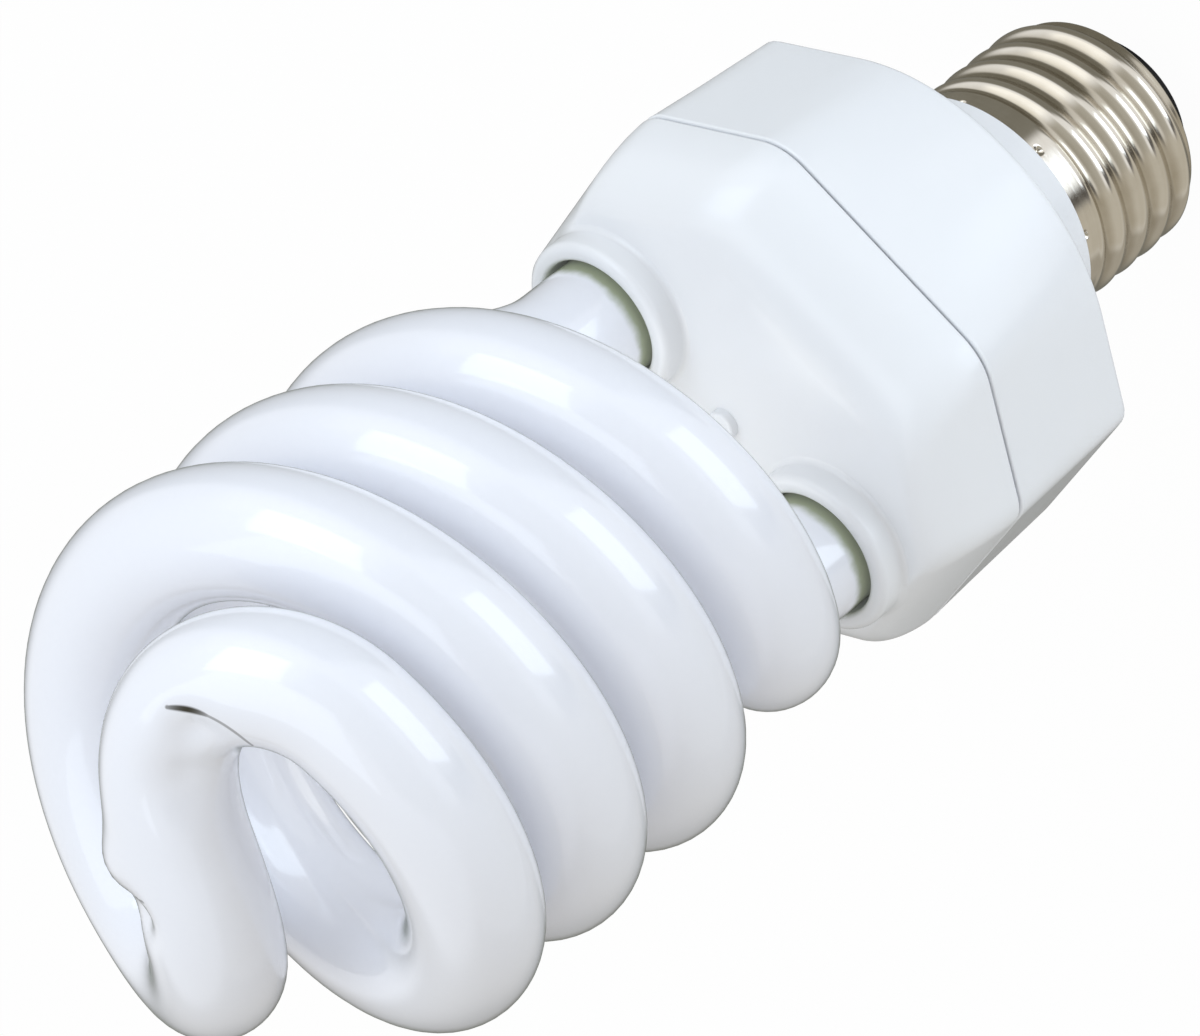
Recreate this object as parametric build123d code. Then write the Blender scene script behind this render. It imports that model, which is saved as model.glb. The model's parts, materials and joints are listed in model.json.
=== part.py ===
from build123d import *
import math
import os

# Spiral compact fluorescent bulb with an E27 screw cap, in millimetres.
# +Z runs along the lamp axis from the centre contact (Z = 0) to the tip of the spiral,
# and X runs through the two sockets that hold the ends of the glass tube.

# Screw cap
shell_radius = 13.15
shell_wall = 0.4
shell_rim_z = 25.0
shell_straight_z = 8.5
shell_lip_z = 4.8
shell_lip_radius = 9.5
shell_lip_width = 0.7
shell_bulge = 1.0
shell_bulge_z = 6.3
contact_radius = 4.8
contact_flat_radius = 2.6
contact_thickness = 1.5
contact_edge = 0.6
stem_radius = 1.5
stem_bore_radius = 0.8
stem_top_z = 9.4
insulator_face_radius = 5.6
insulator_shoulder_radius = 9.0
insulator_shoulder_z = 2.9

# Upper housing, eight-sided at the seam, with round sides and flat ends at the rim by the cap
rim_z = 36.0
rim_radius = 25.4
rim_half_length = 25.75
rim_end_corner = 2.5
rim_side_inset = 1.4
rim_chamfer = 0.9
seam_z = 55.0
seam_half_length = 26.7
seam_half_width = 24.6
seam_half_diagonal = 27.4
seam_end_corner = 4.0
seam_side_corner = 7.0
housing_wall = 1.8
cavity_radius = 22.7
shoulder_drop = 5.5
shoulder_step = 0.6
shoulder_radius = 15.6
neck_radius = 14.2
neck_bore_radius = 10.8
stub_length = 3.2
rib_width = 1.6
rib_reach = 3.0
rib_angles = (38.0, 142.0, 218.0, 322.0)

# Tube holder, which closes the housing and carries the tube
wall_rise = 4.8
wall_top_taper = 1.6
bend_rise = 3.4
bend_taper = 4.6
face_rise = 1.8
face_taper = 9.0
end_taper_share = 0.2
spigot_depth = 3.0
spigot_wall = 1.4
spigot_flange = 1.0
socket_offset = 15.6
socket_rise = 3.2
sleeve_depth = 1.5
socket_wall = 1.9
socket_chamfer = 0.7
gate_radius = 1.6
gate_height = 1.0

# Spiral glass tube: a leg in each socket, a double helix and an S-shaped bridge at the tip
tube_radius = 6.5
leg_radius = 6.1
tube_insertion = 7.2
leg_top_z = 73.5
leg_pull = 8.7
helix_entry_pull = 11.6
helix_entry_angle = 37.9
helix_entry_z = 85.7
helix_entry_radius = 22.4
helix_exit_angle = 623.0
helix_exit_radius = 24.2
helix_pitch = 30.0
helix_exit_pull = 10.2
bridge_z = 142.75
bridge_angle = 139.4
bridge_pull = 20.5
leg_sections = 4
helix_sections_per_turn = 16
curl_sections = 7

# Ballast inside the housing, hung from a round board with its parts towards the cap
board_radius = 22.0
board_thickness = 1.6
can_radius = 5.0
can_length = 20.0
can_chamfer = 0.6
choke_x = 12.8
choke_length = 16.0
choke_height = 11.6
choke_depth = 4.8
choke_plate = 2.4
choke_leg = 4.2
bobbin_wall = 0.8
bobbin_depth = 11.0
coil_inset = 0.5
ring_x = -8.5
ring_y = 12.2
ring_outer_radius = 4.5
ring_inner_radius = 2.4
ring_height = 4.4
ring_coil = 0.5
ring_coil_width = 2.6
ring_coils = 3
resonant_x = 3.6
resonant_y = 15.2
resonant_length = 11.0
coupling_x = 2.5
coupling_y = -15.2
coupling_length = 10.0
film_depth = 5.4
film_height = 9.5
film_edge_radius = 0.8
transistor_x = -16.0
transistor_pitch = 9.0
transistor_width = 7.8
transistor_height = 10.8
transistor_depth = 3.2
transistor_hole_radius = 1.6
transistor_hole_rise = 3.6
drum_x = -9.4
drum_y = -13.4
drum_radius = 3.8
drum_core_radius = 1.7
drum_flange = 1.2
drum_height = 9.0
diode_x = 2.2
diode_y = -8.8
diode_radius = 1.4
diode_length = 5.2
diode_pitch = 3.8
diode_count = 4
fuse_x = -10.5
fuse_y = -5.5
fuse_radius = 1.7
fuse_length = 8.5
lead_radius = 0.4
lead_spread = 2.4
wire_radius = 0.7
small_round_sides = 12
wire_x = -7.6
wire_y = 3.0
wire_bend = 3.0
wire_bend_steps = 3
wire_rise = 6.0

# Fits
slip_clearance = 0.15
cement_clearance = 0.03
cement_thickness = 0.8
cement_recess = 3.5
insulator_clearance = 0.05

# Values that follow from the sizes above
stub_radius = shell_radius - shell_wall - slip_clearance
stub_z = shell_rim_z - stub_length
rim_side_corner = rim_radius - rim_side_inset
bore_radius = leg_radius + cement_thickness
socket_radius = bore_radius + socket_wall
wall_top_z = seam_z + wall_rise
bend_z = wall_top_z + bend_rise
face_z = bend_z + face_rise
socket_top_z = face_z + socket_rise
tube_foot_z = socket_top_z - tube_insertion
socket_sleeve_z = tube_foot_z - sleeve_depth
cement_top_z = socket_top_z - cement_recess
spigot_z = seam_z - spigot_depth
board_top_z = spigot_z
board_z = board_top_z - board_thickness
spigot_radius = cavity_radius - slip_clearance


def octagon(z: float, halves: tuple[float, float, float], end_corner: float, side_corner: float) -> Sketch:
    """Eight-sided section square to the lamp axis, with its own rounding at the ends and at the long sides."""
    half_length, half_width, half_diagonal = halves
    reach = half_diagonal * math.sqrt(2)
    x_end = reach - half_width
    y_end = reach - half_length
    quarter = [(half_length, y_end), (x_end, half_width)]
    points = quarter + [(-x, y) for x, y in reversed(quarter)]
    points += [(-x, -y) for x, y in points]
    outline = make_face(Polyline(*points, close=True))
    outline = fillet(outline.vertices().sort_by(lambda corner: abs(corner.Y))[:4], end_corner)
    sides = outline.vertices().sort_by(lambda corner: abs(corner.Y))[-4:]
    return Pos(0, 0, z) * fillet(sides, side_corner)


def blend(low: float, high: float, share: float) -> float:
    """Value at a share of the way from low to high."""
    return low + (high - low) * share


def holder_section(z: float, taper: float, inset: float) -> Sketch:
    """Section at the seam or above it, drawn in by a taper on the long sides and less at the ends."""
    half_length = seam_half_length - taper * end_taper_share - inset
    half_width = seam_half_width - taper - inset
    half_diagonal = seam_half_diagonal - taper * (1 + end_taper_share) / 2 - inset
    halves = (half_length, half_width, half_diagonal)
    return octagon(z, halves, seam_end_corner - inset, seam_side_corner - inset)


def holder_form(inset: float) -> Part:
    """Outside of the tube holder, or the space inside it when set in by a wall."""
    levels = ((seam_z, 0.0), (wall_top_z - inset, wall_top_taper), (bend_z - inset, bend_taper))
    sections = [holder_section(z, taper, inset) for z, taper in levels]
    return loft(sections + [holder_section(face_z - inset, face_taper, inset)], ruled=True)


def post(radius: float, z_low: float, z_high: float, x: float = 0.0, y: float = 0.0) -> Part:
    """Upright cylinder between two heights."""
    return Pos(x, y, z_low) * extrude(Circle(radius), z_high - z_low)


def block(x_size: float, y_size: float, z_low: float, z_high: float, x: float = 0.0, y: float = 0.0) -> Part:
    """Upright box between two heights, centred on x and y."""
    return Pos(x, y, z_low) * extrude(Rectangle(x_size, y_size), z_high - z_low)


def turned(*outline: Edge) -> Part:
    """Solid turned about the lamp axis from a closed outline in X and Z."""
    return revolve(make_face(list(outline)), Axis.Z)


def flat_run(points: list[tuple[float, float]]) -> list[Edge]:
    """Run of straight edges through radius and height pairs."""
    return Polyline(*[(r, 0, z) for r, z in points]).edges()


def rod_through(stations: list[tuple[Vector, Vector, Sketch]]) -> Part:
    """Rod through places and directions, each with its section, with no twist on its way."""
    across = Vector(0, 1, 0)
    rings = []
    for place, way, section in stations:
        across = (across - way * across.dot(way)).normalized()
        rings.append(Plane(origin=place, x_dir=across, z_dir=way) * section)
    return loft(rings, ruled=True)


# Cap


def shell_foot(inset: float) -> tuple[tuple[float, float], tuple[float, float]]:
    """Top and bottom of the turned-in foot of the shell, set in by a wall, as radius and height."""
    top = (shell_radius - inset, shell_straight_z)
    bottom = (shell_lip_radius + shell_lip_width, shell_lip_z + inset)
    return top, bottom


def screw_shell() -> Part:
    """Pressed metal shell, open at its rim and turned in at the lip."""
    top, bottom = shell_foot(0.0)
    inner_top, inner_bottom = shell_foot(shell_wall)
    inner_radius = shell_radius - shell_wall
    middle = (shell_radius - shell_bulge, shell_bulge_z)
    lip = (shell_lip_radius, shell_lip_z)
    inner_lip = (shell_lip_radius, inner_bottom[1])
    rim = (shell_radius, shell_rim_z)
    inner_rim = (inner_radius, shell_rim_z)
    straight = flat_run([bottom, lip, inner_lip, inner_bottom, inner_top, inner_rim, rim, top])
    foot = ThreePointArc(*[(r, 0, z) for r, z in (top, middle, bottom)])
    return turned(*straight, foot)


def cap_insulator() -> Part:
    """Black glass that fills the foot of the shell and carries the centre contact."""
    seat_top, seat_bottom = shell_foot(shell_wall + insulator_clearance)
    hole = stem_radius + insulator_clearance
    throat = shell_lip_radius - insulator_clearance
    corners = [(hole, contact_thickness), (insulator_face_radius, contact_thickness)]
    corners += [(insulator_shoulder_radius, insulator_shoulder_z), (throat, shell_lip_z)]
    corners += [(throat, seat_bottom[1]), seat_bottom, seat_top, (hole, shell_straight_z)]
    return turned(*flat_run(corners + corners[:1]))


def centre_contact() -> Part:
    """Brass contact with a bevelled face and a hollow stem through the insulator."""
    edge_z = contact_thickness - contact_edge
    face = [(0, contact_thickness), (0, 0), (contact_flat_radius, 0), (contact_radius, edge_z)]
    back = [(contact_radius, contact_thickness), (stem_radius, contact_thickness)]
    stem = [(stem_radius, stem_top_z), (stem_bore_radius, stem_top_z), (stem_bore_radius, contact_thickness)]
    corners = face + back + stem
    return turned(*flat_run(corners + corners[:1]))


# Housing


def shoulder(inset: float) -> Part:
    """Cone between the rim and the neck, set in by a wall for the space inside."""
    wide = rim_radius - rim_chamfer - shoulder_step - inset
    narrow = shoulder_radius - inset
    low = rim_z - shoulder_drop + inset
    high = rim_z + inset
    corners = [(0, low), (narrow, low), (wide, high), (0, high)]
    return turned(*flat_run(corners + corners[:1]))


def base_housing() -> Part:
    """Upper shell with its neck, the stub inside the screw cap and four ribs under the board."""
    floor_z = rim_z + housing_wall
    rim = octagon(rim_z, (rim_half_length, rim_radius, rim_radius), rim_end_corner, rim_side_corner)
    outside = loft([rim, holder_section(seam_z, 0.0, 0.0)], ruled=True)
    rim_edges = outside.faces().sort_by(Axis.Z)[0].edges()
    outside = chamfer(rim_edges, rim_chamfer)
    cavity = post(cavity_radius, floor_z, seam_z)
    ribs = Part()
    for angle in rib_angles:
        ribs += Rot(0, 0, angle) * block(2 * rib_reach, rib_width, floor_z, board_z, board_radius)
    neck = post(neck_radius, shell_rim_z, rim_z) + post(stub_radius, stub_z, shell_rim_z)
    body = outside + shoulder(0.0) + neck - cavity - shoulder(housing_wall)
    return body - post(neck_bore_radius, stub_z, rim_z) + (ribs & cavity)


def tube_holder() -> Part:
    """Lower shell with a spigot into the upper one and two sockets for the tube's legs."""
    shell = holder_form(0.0) - holder_form(housing_wall)
    flange_z = seam_z + spigot_flange
    flange = extrude(holder_section(seam_z, 0.0, spigot_flange), spigot_flange)
    shell += flange + post(spigot_radius, spigot_z, flange_z)
    shell -= post(spigot_radius - spigot_wall, spigot_z, flange_z)
    for x in (-socket_offset, socket_offset):
        boss = post(socket_radius, socket_sleeve_z, socket_top_z, x)
        boss = chamfer(boss.edges().group_by(Axis.Z)[-1], socket_chamfer)
        shell += boss
    for x in (-socket_offset, socket_offset):
        shell -= post(bore_radius, socket_sleeve_z, socket_top_z, x)
    gate = post(gate_radius, face_z - housing_wall / 2, face_z + gate_height)
    return shell + gate


# Glass tube


def helix_point(angle: float) -> Vector:
    """Point on the centre line of one strand at an angle about the lamp axis."""
    share = (angle - helix_entry_angle) / (helix_exit_angle - helix_entry_angle)
    radius = blend(helix_entry_radius, helix_exit_radius, share)
    height = helix_entry_z + helix_pitch * (angle - helix_entry_angle) / 360
    turn = math.radians(angle)
    return Vector(radius * math.cos(turn), radius * math.sin(turn), height)


def helix_direction(angle: float) -> Vector:
    """Unit direction of the strand at an angle about the lamp axis."""
    return (helix_point(angle + 0.01) - helix_point(angle - 0.01)).normalized()


def strand_stations() -> list[tuple[Vector, Vector, Sketch]]:
    """Places, directions and sections along one strand, from its foot in the socket to the lamp axis."""
    foot = Vector(socket_offset, 0, tube_foot_z)
    leg_top = Vector(socket_offset, 0, leg_top_z)
    up = Vector(0, 0, 1)
    entry = helix_point(helix_entry_angle)
    entry_way = helix_direction(helix_entry_angle)
    leg = Bezier(leg_top, leg_top + up * leg_pull, entry - entry_way * helix_entry_pull, entry)
    leave = helix_point(helix_exit_angle)
    leave_way = helix_direction(helix_exit_angle)
    heading = math.radians(bridge_angle)
    bridge_way = Vector(math.cos(heading), math.sin(heading), 0)
    middle = Vector(0, 0, bridge_z)
    curl = Bezier(leave, leave + leave_way * helix_exit_pull, middle - bridge_way * bridge_pull, middle)
    span = helix_exit_angle - helix_entry_angle
    helix_steps = round(helix_sections_per_turn * span / 360)
    stations = [(foot, up, Circle(leg_radius))]
    for i in range(leg_sections):
        share = i / leg_sections
        stations.append((leg @ share, leg % share, Circle(blend(leg_radius, tube_radius, share))))
    for i in range(helix_steps):
        angle = helix_entry_angle + span * i / helix_steps
        stations.append((helix_point(angle), helix_direction(angle), Circle(tube_radius)))
    for i in range(curl_sections + 1):
        share = i / curl_sections
        stations.append((curl @ share, curl % share, Circle(tube_radius)))
    return stations


def spiral_tube() -> Part:
    """Sealed glass tube: both strands in one piece, joined by the bridge through the axis."""
    first = strand_stations()
    second = [(Vector(-p.X, -p.Y, p.Z), Vector(d.X, d.Y, -d.Z), ring) for p, d, ring in reversed(first[:-1])]
    return rod_through(first + second)


def tube_cement() -> Part:
    """Cement that holds each leg of the tube in its socket."""
    rings = Part()
    for x in (-socket_offset, socket_offset):
        ring = post(bore_radius - cement_clearance, tube_foot_z, cement_top_z, x)
        rings += ring - post(leg_radius + cement_clearance, tube_foot_z, cement_top_z, x)
    return rings


# Ballast


def circuit_board() -> Part:
    """Round board, held between the ribs of the housing and the spigot of the holder."""
    return post(board_radius, board_z, board_top_z)


def smoothing_capacitor() -> Part:
    """Electrolytic can on the lamp axis, reaching into the neck."""
    can = post(can_radius, board_z - can_length, board_z)
    return chamfer(can.edges().group_by(Axis.Z)[0], can_chamfer)


def choke_window() -> tuple[float, float]:
    """Lowest and highest height between the plates of the choke's core."""
    return board_z - choke_height + choke_plate, board_z - choke_plate


def choke_core() -> Part:
    """Ferrite core of the lamp choke, two E shapes that meet at the middle of their legs."""
    low, high = choke_window()
    frame = block(choke_depth, choke_length, board_z - choke_height, board_z, choke_x)
    frame -= block(choke_depth, choke_length - 2 * choke_plate, low, high, choke_x)
    return frame + block(choke_depth, choke_leg, low, high, choke_x)


def choke_bobbin() -> Part:
    """Plastic former round the middle leg of the core, with a flange at each end."""
    low, high = choke_window()
    low += slip_clearance
    high -= slip_clearance
    hole = (choke_depth + 2 * slip_clearance, choke_leg + 2 * slip_clearance)
    width = choke_length - 2 * choke_plate - 2 * slip_clearance
    former = block(hole[0] + 2 * bobbin_wall, hole[1] + 2 * bobbin_wall, low, high, choke_x)
    former += block(bobbin_depth, width, low, low + bobbin_wall, choke_x)
    former += block(bobbin_depth, width, high - bobbin_wall, high, choke_x)
    return former - block(*hole, low, high, choke_x)


def choke_winding() -> Part:
    """Copper coil wound on the former, between its flanges."""
    low, high = choke_window()
    low += slip_clearance + bobbin_wall
    high -= slip_clearance + bobbin_wall
    core = (choke_depth + 2 * slip_clearance + 2 * bobbin_wall, choke_leg + 2 * slip_clearance + 2 * bobbin_wall)
    width = choke_length - 2 * choke_plate - 2 * slip_clearance - 2 * coil_inset
    coil = block(bobbin_depth - 2 * coil_inset, width, low, high, choke_x)
    coil = fillet(coil.edges().filter_by(Axis.Z), 2 * bobbin_wall)
    return coil - block(*core, low, high, choke_x)


def ring_core() -> Part:
    """Small ferrite ring that drives both transistors."""
    high = board_z - ring_coil
    ring = post(ring_outer_radius, high - ring_height, high, ring_x, ring_y)
    return ring - post(ring_inner_radius, high - ring_height, high, ring_x, ring_y)


def ring_windings() -> Part:
    """Three short windings on the ring."""
    reach = ring_outer_radius - ring_inner_radius + 2 * ring_coil
    middle = (ring_outer_radius + ring_inner_radius) / 2
    low = board_z - ring_height - 2 * ring_coil
    coils = Part()
    for i in range(ring_coils):
        coil = block(reach, ring_coil_width, low, board_z, middle)
        coils += Pos(ring_x, ring_y, 0) * Rot(0, 0, 360 / ring_coils * i) * coil
    return coils - ring_core()


def film_capacitor(length: float, x: float, y: float) -> Part:
    """Dipped film capacitor, standing on the board."""
    body = block(length, film_depth, board_z - film_height, board_z, x, y)
    return fillet(body.edges().filter_by(Axis.Z), film_edge_radius)


def resonant_capacitor() -> Part:
    """Capacitor across the tube."""
    return film_capacitor(resonant_length, resonant_x, resonant_y)


def coupling_capacitor() -> Part:
    """Capacitor in series with the tube."""
    return film_capacitor(coupling_length, coupling_x, coupling_y)


def power_transistors() -> Part:
    """Two flat transistors side by side, each with a screw hole."""
    pair = Part()
    for y in (-transistor_pitch / 2, transistor_pitch / 2):
        low = board_z - transistor_height
        body = block(transistor_depth, transistor_width, low, board_z, transistor_x, y)
        hole = Plane(origin=(transistor_x, y, low + transistor_hole_rise), z_dir=(1, 0, 0))
        pair += body - extrude(hole * Circle(transistor_hole_radius), transistor_depth, both=True)
    return pair


def rectifier_diodes() -> Part:
    """Four diodes in a row, lying on the board."""
    row = Part()
    for i in range(diode_count):
        x = diode_x + diode_pitch * (i - (diode_count - 1) / 2)
        middle = Plane(origin=(x, diode_y, board_z - diode_radius), z_dir=(0, 1, 0))
        row += extrude(middle * RegularPolygon(diode_radius, small_round_sides), diode_length / 2, both=True)
    return row


def drum_core() -> Part:
    """Ferrite reel of the filter choke."""
    low = board_z - drum_height
    reel = post(drum_core_radius, low, board_z, drum_x, drum_y)
    reel += post(drum_radius, low, low + drum_flange, drum_x, drum_y)
    return reel + post(drum_radius, board_z - drum_flange, board_z, drum_x, drum_y)


def drum_winding() -> Part:
    """Coil between the flanges of the reel."""
    low = board_z - drum_height + drum_flange
    high = board_z - drum_flange
    coil = post(drum_radius - coil_inset, low, high, drum_x, drum_y)
    return coil - post(drum_core_radius, low, high, drum_x, drum_y)


def fuse_resistor() -> Part:
    """Fusible resistor in the supply, standing on the board."""
    return post(fuse_radius, board_z - fuse_length, board_z, fuse_x, fuse_y)


def filament_leads() -> Part:
    """Two leads from each end of the tube to the board."""
    leads = Part()
    section = RegularPolygon(lead_radius, small_round_sides)
    for x in (-socket_offset, socket_offset):
        for y in (-lead_spread, lead_spread):
            leads += Pos(x, y, board_top_z) * extrude(section, tube_foot_z - board_top_z)
    return leads


def wire_along(points: list[tuple[float, float, float]]) -> Part:
    """Insulated wire along straight runs with round bends."""
    section = RegularPolygon(wire_radius, small_round_sides)
    stations = []
    for edge in FilletPolyline(*points, radius=wire_bend).edges():
        steps = 1 if edge.geom_type == GeomType.LINE else wire_bend_steps
        stations += [(edge @ (i / steps), edge % (i / steps), section) for i in range(steps)]
    stations.append((edge @ 1, edge % 1, section))
    return rod_through(stations)


def live_wire() -> Part:
    """Wire from the stem of the centre contact to the board."""
    above = stem_top_z + wire_rise
    across = above + wire_rise
    return wire_along([(0, 0, stem_top_z), (0, 0, above), (wire_x, -wire_y, across), (wire_x, -wire_y, board_z)])


def neutral_wire() -> Part:
    """Wire from the inside of the screw shell, under the neck's stub, to the board."""
    level = stub_z - slip_clearance - wire_radius
    side = math.sqrt((shell_radius - shell_wall - slip_clearance) ** 2 - (wire_y + wire_radius) ** 2)
    return wire_along([(-side, wire_y, level), (wire_x, wire_y, level), (wire_x, wire_y, board_z)])


PIECES = {
    "screw_shell": screw_shell,
    "cap_insulator": cap_insulator,
    "centre_contact": centre_contact,
    "base_housing": base_housing,
    "tube_holder": tube_holder,
    "spiral_tube": spiral_tube,
    "tube_cement": tube_cement,
    "circuit_board": circuit_board,
    "smoothing_capacitor": smoothing_capacitor,
    "choke_core": choke_core,
    "choke_bobbin": choke_bobbin,
    "choke_winding": choke_winding,
    "ring_core": ring_core,
    "ring_windings": ring_windings,
    "resonant_capacitor": resonant_capacitor,
    "coupling_capacitor": coupling_capacitor,
    "power_transistors": power_transistors,
    "rectifier_diodes": rectifier_diodes,
    "drum_core": drum_core,
    "drum_winding": drum_winding,
    "fuse_resistor": fuse_resistor,
    "filament_leads": filament_leads,
    "live_wire": live_wire,
    "neutral_wire": neutral_wire,
}

os.makedirs("parts", exist_ok=True)
for name, make in PIECES.items():
    export_step(make(), f"parts/{name}.step")
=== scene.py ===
import functools
import json
import logging
import math
from dataclasses import dataclass, fields
from enum import Enum
from typing import Any, Callable, Sequence

import bpy
import numpy as np
from bpy.types import ID, Material, Mesh, Node, NodeSocket, NodeTree, Object
from mathutils import Matrix, Vector


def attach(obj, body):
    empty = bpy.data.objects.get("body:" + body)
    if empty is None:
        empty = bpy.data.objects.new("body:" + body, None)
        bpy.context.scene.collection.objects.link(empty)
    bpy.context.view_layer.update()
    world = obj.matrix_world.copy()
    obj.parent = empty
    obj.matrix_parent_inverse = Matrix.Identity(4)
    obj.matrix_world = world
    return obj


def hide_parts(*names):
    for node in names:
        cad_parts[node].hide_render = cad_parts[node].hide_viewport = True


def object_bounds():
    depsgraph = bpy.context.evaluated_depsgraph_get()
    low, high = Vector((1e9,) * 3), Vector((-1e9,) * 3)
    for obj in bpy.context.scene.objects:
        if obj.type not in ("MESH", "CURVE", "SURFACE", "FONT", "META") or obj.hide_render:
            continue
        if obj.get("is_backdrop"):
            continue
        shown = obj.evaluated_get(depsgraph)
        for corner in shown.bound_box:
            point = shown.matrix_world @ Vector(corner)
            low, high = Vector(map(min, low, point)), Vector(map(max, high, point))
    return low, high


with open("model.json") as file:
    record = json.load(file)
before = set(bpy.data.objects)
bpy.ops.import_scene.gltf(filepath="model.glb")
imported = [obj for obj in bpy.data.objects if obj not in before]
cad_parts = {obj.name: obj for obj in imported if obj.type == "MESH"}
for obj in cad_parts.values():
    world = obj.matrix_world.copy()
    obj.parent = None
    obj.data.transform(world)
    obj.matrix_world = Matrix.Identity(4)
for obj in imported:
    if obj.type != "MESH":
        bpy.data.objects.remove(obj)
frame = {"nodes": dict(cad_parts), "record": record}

LOG = logging.getLogger("bulb")
MM = 0.001
BODY = "root"
Colour = tuple[float, float, float]
Point = tuple[float, float]
Value = Any
Sockets = dict[str | int, Value]
WHITE: Colour = (1.0, 1.0, 1.0)
RING_DRIFT = 0.04
FIBRE_DRAW = 0.2
WELD_REACH = 0.0005 * MM
MERGE_REACH = 0.02 * MM
SHARP = math.radians(35.0)


# Node trees


def operation(name: str, mirrored: bool = False) -> Callable[..., "Term"]:
    """Method of a term that adds one Math node.

    Args:
        name: Blender's name of the operation.
        mirrored: whether the term comes after the other value.

    Returns:
        The method.
    """
    def method(term: "Term", *others: Value) -> "Term":
        """Result of the operation on the term and other values."""
        return term.math(name, *others, term) if mirrored else term.math(name, term, *others)

    return method


class Term:
    """A value socket that can stand in arithmetic: each operator adds one Math node."""

    def __init__(self, tree: NodeTree, socket: NodeSocket) -> None:
        """Wrap a socket of a node tree."""
        self.tree = tree
        self.socket = socket

    def math(self, operation: str, *values: Value) -> "Term":
        """Add a Math node.

        Args:
            operation: Blender's name of the operation.
            values: terms or numbers, in the node's own order.

        Returns:
            The node's result.
        """
        node = self.tree.nodes.new("ShaderNodeMath")
        node.operation = operation
        for socket, value in zip(node.inputs, values):
            if isinstance(value, Term):
                self.tree.links.new(value.socket, socket)
            else:
                socket.default_value = value
        return Term(self.tree, node.outputs[0])

    __add__ = __radd__ = operation("ADD")
    __sub__ = operation("SUBTRACT")
    __rsub__ = operation("SUBTRACT", mirrored=True)
    __mul__ = __rmul__ = operation("MULTIPLY")
    __truediv__ = operation("DIVIDE")
    __pow__ = operation("POWER")
    sin, cos = operation("SINE"), operation("COSINE")
    root, exp = operation("SQRT"), operation("EXPONENT")
    fraction = operation("FRACT")
    least, most = operation("MINIMUM"), operation("MAXIMUM")

    def __neg__(self) -> "Term":
        """Opposite."""
        return self * -1.0

    def step(self, low: float, high: float) -> "Term":
        """Smooth rise from 0 at low to 1 at high.

        Args:
            low: value at which the rise starts.
            high: value at which it ends.

        Returns:
            The share of the rise, from 0 to 1.
        """
        share = ((self - low) / (high - low)).most(0.0).least(1.0)
        return share * share * (3.0 - 2.0 * share)


class Tree:
    """A node tree, with one way to add any node."""

    def __init__(self, tree: NodeTree) -> None:
        """Wrap a node tree."""
        self.tree = tree

    def make(self, kind: str, sockets: Sockets | None = None, **settings: Value) -> Node:
        """Add a node.

        Args:
            kind: Blender's type name of the node.
            sockets: input sockets by name or number, each with a value, a term or a socket to link.
            settings: properties of the node, set before its sockets.

        Returns:
            The node.
        """
        node = self.tree.nodes.new(kind)
        for name, value in settings.items():
            setattr(node, name, value)
        for key, value in (sockets or {}).items():
            source = value.socket if isinstance(value, Term) else value
            source = source.outputs[0] if isinstance(source, Node) else source
            if isinstance(source, NodeSocket):
                self.tree.links.new(source, node.inputs[key])
            else:
                node.inputs[key].default_value = source
        return node

    def term(self, kind: str, sockets: Sockets | None = None, output: int = 0, **settings: Value) -> Term:
        """Add a node as make does, and take one of its outputs as a term."""
        return Term(self.tree, self.make(kind, sockets, **settings).outputs[output])

    def axes(self, vector: Value) -> tuple[Term, Term, Term]:
        """X, Y and Z of a vector socket, or of the node that gives it."""
        node = self.make("ShaderNodeSeparateXYZ", {0: vector})
        return tuple(Term(self.tree, socket) for socket in node.outputs)

    def vector(self, x: Value, y: Value, z: Value) -> NodeSocket:
        """Vector socket from three values."""
        return self.make("ShaderNodeCombineXYZ", {0: x, 1: y, 2: z}).outputs[0]


class Recipe(Tree):
    """Geometry Nodes tree with named sizes, which ends as a plain mesh."""

    def __init__(self, name: str, sizes: dict[str, float]) -> None:
        """Start an empty tree.

        Args:
            name: name of the tree and of its mesh.
            sizes: the tree's named inputs, each with its value.
        """
        super().__init__(bpy.data.node_groups.new(name, "GeometryNodeTree"))
        self.name = name
        self.values: dict[str, float] = {}
        self.tree.interface.new_socket(name="Geometry", in_out="OUTPUT", socket_type="NodeSocketGeometry")
        for label, value in sizes.items():
            item = self.tree.interface.new_socket(name=label, in_out="INPUT", socket_type="NodeSocketFloat")
            self.values[item.identifier] = value
        self.inputs = self.make("NodeGroupInput")

    def size(self, label: str) -> Term:
        """One of the named inputs."""
        return Term(self.tree, self.inputs.outputs[label])

    def mesh(self, geometry: Value, material: Material) -> Mesh:
        """Close the tree and turn its result into a plain mesh.

        Args:
            geometry: the node that gives the finished geometry.
            material: material of every face.

        Returns:
            The mesh.
        """
        smooth = self.make("GeometryNodeSetShadeSmooth", {"Geometry": geometry})
        real = self.make("GeometryNodeRealizeInstances", {"Geometry": smooth})
        dressed = self.make("GeometryNodeSetMaterial", {"Geometry": real, "Material": material})
        self.make("NodeGroupOutput", {"Geometry": dressed})
        blank = bpy.data.meshes.new(self.name)
        return applied(blank, "NODES", {"node_group": self.tree}, self.values)


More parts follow.
